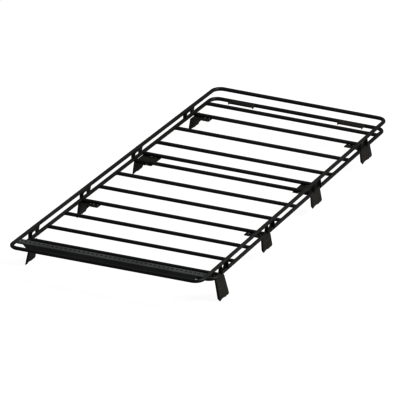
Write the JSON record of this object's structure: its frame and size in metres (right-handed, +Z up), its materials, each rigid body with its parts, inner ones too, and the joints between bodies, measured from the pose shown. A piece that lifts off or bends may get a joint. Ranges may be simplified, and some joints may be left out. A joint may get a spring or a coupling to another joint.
{
  "type": "roof cargo rack",
  "caption": "Full-length tubular roof cargo rack with a low tube rail round the deck, cross tubes, a slotted front light bar and bolt-on legs that slide to fit the roof width.",
  "frame": {"origin": "under the middle of the rack, on the level of the lowest leg tips", "axes": "+X to the right of the vehicle, +Y towards the tail, +Z up; the slotted light bar is at the front, -Y"},
  "size_m": [1.5018, 3.2104, 0.2684],
  "materials": {
    "black_powder_coat": "satin black powder coat on steel tube",
    "black_plate": "satin black powder coat on folded steel sheet",
    "light_bar_coat": "satin dark grey powder coat",
    "black_zinc_bolt": "black zinc plated steel"
  },
  "bodies": {
    "rack_frame": {"lower_rail_front": "black_powder_coat", "lower_rail_rear": "black_powder_coat", "upper_rail_front": "black_powder_coat", "upper_rail_rear": "black_powder_coat", "deck_bar_01": "black_powder_coat", "deck_bar_02": "black_powder_coat", "deck_bar_03": "black_powder_coat", "deck_bar_04": "black_powder_coat", "deck_bar_05": "black_powder_coat", "deck_bar_06": "black_powder_coat", "deck_bar_07": "black_powder_coat", "deck_bar_08": "black_powder_coat", "deck_bar_09": "black_powder_coat", "deck_bar_10": "black_powder_coat", "deck_bar_11": "black_powder_coat", "deck_bar_12": "black_powder_coat", "rail_bracket_right_1": "black_plate", "rail_bracket_left_1": "black_plate", "rail_bracket_right_2": "black_plate", "rail_bracket_left_2": "black_plate", "rail_bracket_right_3": "black_plate", "rail_bracket_left_3": "black_plate", "rail_bracket_right_4": "black_plate", "rail_bracket_left_4": "black_plate", "leg_bolt_right_1a": "black_zinc_bolt", "leg_bolt_right_1b": "black_zinc_bolt", "leg_bolt_left_1a": "black_zinc_bolt", "leg_bolt_left_1b": "black_zinc_bolt", "leg_bolt_right_2a": "black_zinc_bolt", "leg_bolt_right_2b": "black_zinc_bolt", "leg_bolt_left_2a": "black_zinc_bolt", "leg_bolt_left_2b": "black_zinc_bolt", "leg_bolt_right_3a": "black_zinc_bolt", "leg_bolt_right_3b": "black_zinc_bolt", "leg_bolt_left_3a": "black_zinc_bolt", "leg_bolt_left_3b": "black_zinc_bolt", "leg_bolt_right_4a": "black_zinc_bolt", "leg_bolt_right_4b": "black_zinc_bolt", "leg_bolt_left_4a": "black_zinc_bolt", "leg_bolt_left_4b": "black_zinc_bolt", "light_bar": "light_bar_coat", "accessory_plate_right": "black_plate", "accessory_plate_left": "black_plate"},
    "leg_right_1_body": {"leg_right_1": "black_plate"},
    "leg_left_1_body": {"leg_left_1": "black_plate"},
    "leg_right_2_body": {"leg_right_2": "black_plate"},
    "leg_left_2_body": {"leg_left_2": "black_plate"},
    "leg_right_3_body": {"leg_right_3": "black_plate"},
    "leg_left_3_body": {"leg_left_3": "black_plate"},
    "leg_right_4_body": {"leg_right_4": "black_plate"},
    "leg_left_4_body": {"leg_left_4": "black_plate"}
  },
  "joints": [
    {"name": "leg_right_1_slide", "type": "slide", "parent": "rack_frame", "child": "leg_right_1_body", "axis": [0.9997, 0.0254, 0], "range_m": [-0.02, 0.02]},
    {"name": "leg_left_1_slide", "type": "slide", "parent": "rack_frame", "child": "leg_left_1_body", "axis": [-0.9997, 0.0254, 0], "range_m": [-0.02, 0.02]},
    {"name": "leg_right_2_slide", "type": "slide", "parent": "rack_frame", "child": "leg_right_2_body", "axis": [0.9997, 0.0254, 0], "range_m": [-0.02, 0.02]},
    {"name": "leg_left_2_slide", "type": "slide", "parent": "rack_frame", "child": "leg_left_2_body", "axis": [-0.9997, 0.0254, 0], "range_m": [-0.02, 0.02]},
    {"name": "leg_right_3_slide", "type": "slide", "parent": "rack_frame", "child": "leg_right_3_body", "axis": [0.9997, 0.0254, 0], "range_m": [-0.02, 0.02]},
    {"name": "leg_left_3_slide", "type": "slide", "parent": "rack_frame", "child": "leg_left_3_body", "axis": [-0.9997, 0.0254, 0], "range_m": [-0.02, 0.02]},
    {"name": "leg_right_4_slide", "type": "slide", "parent": "rack_frame", "child": "leg_right_4_body", "axis": [0.9997, 0.0254, 0], "range_m": [-0.02, 0.02]},
    {"name": "leg_left_4_slide", "type": "slide", "parent": "rack_frame", "child": "leg_left_4_body", "axis": [-0.9997, 0.0254, 0], "range_m": [-0.02, 0.02]}
  ]
}
